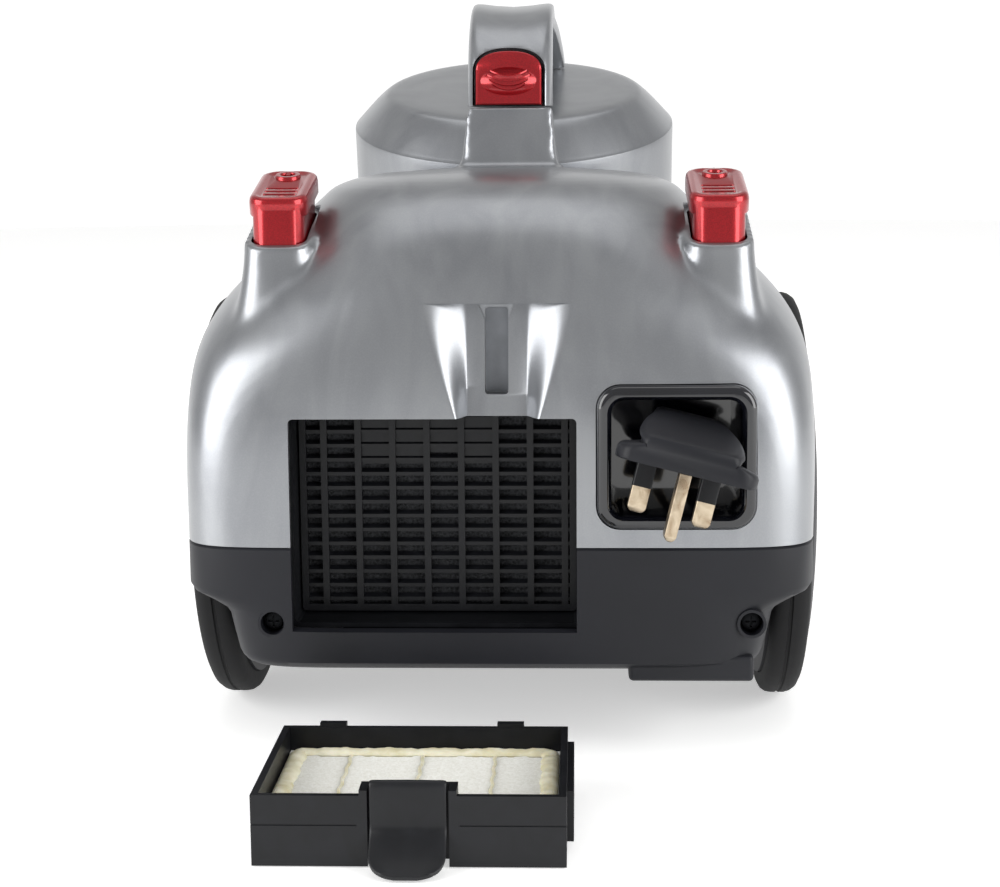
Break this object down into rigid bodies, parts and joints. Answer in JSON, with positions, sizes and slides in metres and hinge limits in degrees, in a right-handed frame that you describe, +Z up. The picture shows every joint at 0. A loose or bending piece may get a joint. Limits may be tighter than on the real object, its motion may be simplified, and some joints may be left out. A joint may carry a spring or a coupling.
{
  "type": "bagless cylinder vacuum cleaner",
  "caption": "Silver and black bagless cylinder vacuum with red foot pedals, leaning clear bin, carry handle, parked mains plug and its exhaust filter cassette lying behind it.",
  "frame": {"origin": "on the floor, under the middle of the whole object's bounding box", "axes": "+X to the right seen from behind, +Y forward the way the cleaner is towed, +Z up"},
  "size_m": [0.236, 0.4556, 0.2702],
  "materials": {
    "silver_abs": "semi-gloss metallic silver lacquer over moulded ABS",
    "black_abs": "fine satin moulded black ABS",
    "gloss_black_abs": "polished black ABS",
    "red_abs": "metallic red lacquer over moulded ABS",
    "rubber": "soft black rubber",
    "clear_polycarbonate": "lightly smoked clear polycarbonate",
    "grey_abs": "grey moulded ABS",
    "plated_brass": "bright plated brass",
    "steel": "bright steel",
    "filter_paper": "pleated cream filter paper with a glued border",
    "filter_foam": "open-cell grey foam",
    "pvc_cord": "black PVC sheath"
  },
  "bodies": {
    "machine": {"upper_housing": "silver_abs", "exhaust_foam": "filter_foam", "lower_housing": "black_abs", "bin_dock": "black_abs", "filter_bay": "black_abs", "exhaust_grille": "black_abs", "plug_bezel": "gloss_black_abs", "axle_left": "steel", "axle_right": "steel", "power_switch": "grey_abs", "reel_brake": "grey_abs", "power_spring": "steel", "rewind_spring": "steel", "motor_can": "steel", "motor_mount_front": "rubber", "motor_mount_rear": "rubber", "motor_cradle": "black_abs", "pre_motor_filter": "filter_foam", "reel_bracket": "steel", "housing_screw_left": "steel", "housing_screw_right": "steel", "nose_bumper": "rubber"},
    "wheel_l": {"wheel_left": "black_abs", "tyre_left": "rubber", "hubcap_left": "grey_abs"},
    "wheel_r": {"wheel_right": "black_abs", "tyre_right": "rubber", "hubcap_right": "grey_abs"},
    "caster_swivel_body": {"caster_fork": "black_abs", "caster_axle": "steel"},
    "caster_wheel_body": {"caster_wheel": "rubber"},
    "power_pedal_body": {"power_pedal": "red_abs"},
    "rewind_pedal_body": {"rewind_pedal": "red_abs"},
    "bin": {"bin_shell": "clear_polycarbonate", "hose_port": "grey_abs"},
    "lid": {"bin_lid": "silver_abs", "carry_handle": "silver_abs", "lid_seal": "rubber", "mesh_shroud": "steel", "cyclone_cone": "grey_abs", "vortex_finder": "grey_abs"},
    "button": {"release_button": "red_abs"},
    "fan": {"motor_fan": "grey_abs"},
    "reel": {"cord_reel": "grey_abs", "wound_cord": "pvc_cord"},
    "plug": {"plug_body": "black_abs", "plug_pin_live": "plated_brass", "plug_pin_neutral": "plated_brass", "plug_pin_earth": "plated_brass", "plug_lead": "pvc_cord"},
    "cassette": {"filter_frame": "black_abs", "filter_cover": "black_abs", "filter_media": "filter_paper"},
    "clip": {"filter_clip": "black_abs"}
  },
  "joints": [
    {"name": "wheel_left_spin", "type": "hinge", "parent": "machine", "child": "wheel_l", "pos_m": [-0.1, -0.0214, 0.0774], "axis": [1, 0, 0], "continuous": true},
    {"name": "wheel_right_spin", "type": "hinge", "parent": "machine", "child": "wheel_r", "pos_m": [0.1, -0.0214, 0.0774], "axis": [1, 0, 0], "continuous": true},
    {"name": "caster_swivel", "type": "hinge", "parent": "machine", "child": "caster_swivel_body", "pos_m": [0, 0.1836, 0.03], "axis": [0, 0, 1], "continuous": true},
    {"name": "caster_roll", "type": "hinge", "parent": "caster_swivel_body", "child": "caster_wheel_body", "pos_m": [0, 0.1761, 0.0108], "axis": [1, 0, 0], "continuous": true},
    {"name": "power_pedal_press", "type": "slide", "parent": "machine", "child": "power_pedal_body", "axis": [0, 0, -1], "range_m": [0, 0.006], "stiffness_N_per_m": 400, "springref_m": -0.002, "deforming": ["power_spring"]},
    {"name": "rewind_pedal_press", "type": "slide", "parent": "machine", "child": "rewind_pedal_body", "axis": [0, 0, -1], "range_m": [0, 0.006], "stiffness_N_per_m": 400, "springref_m": -0.002, "deforming": ["rewind_spring"]},
    {"name": "bin_lift", "type": "slide", "parent": "machine", "child": "bin", "axis": [0, -0.2588, 0.9659], "range_m": [0, 0.23]},
    {"name": "lid_lift", "type": "slide", "parent": "bin", "child": "lid", "axis": [0, -0.2588, 0.9659], "range_m": [0, 0.16]},
    {"name": "release_button_press", "type": "slide", "parent": "lid", "child": "button", "axis": [0, 1, 0], "range_m": [0, 0.003], "stiffness_N_per_m": 500, "springref_m": -0.001},
    {"name": "fan_spin", "type": "hinge", "parent": "machine", "child": "fan", "pos_m": [-0.027, -0.0214, 0.112], "axis": [0, 1, 0], "continuous": true},
    {"name": "plug_pull", "type": "slide", "parent": "machine", "child": "plug", "axis": [0, -1, 0], "range_m": [0, 0.05]},
    {"name": "reel_spin", "type": "hinge", "parent": "machine", "child": "reel", "pos_m": [0.035, -0.0154, 0.1], "axis": [1, 0, 0], "range_deg": [0, 65]},
    {"name": "filter_swing", "type": "hinge", "parent": "machine", "child": "cassette", "pos_m": [-0.023, -0.11175, 0.01145], "axis": [1, 0, 0], "range_deg": [-90, 0]},
    {"name": "clip_fold", "type": "hinge", "parent": "cassette", "child": "clip", "pos_m": [-0.023, -0.2189, 0.024], "axis": [1, 0, 0], "range_deg": [0, 21]}
  ],
  "couplings": [
    {"joint": "clip_fold", "follows": "filter_swing", "ratio": -0.2222},
    {"joint": "reel_spin", "follows": "plug_pull", "rad_per_m": 21.74}
  ]
}
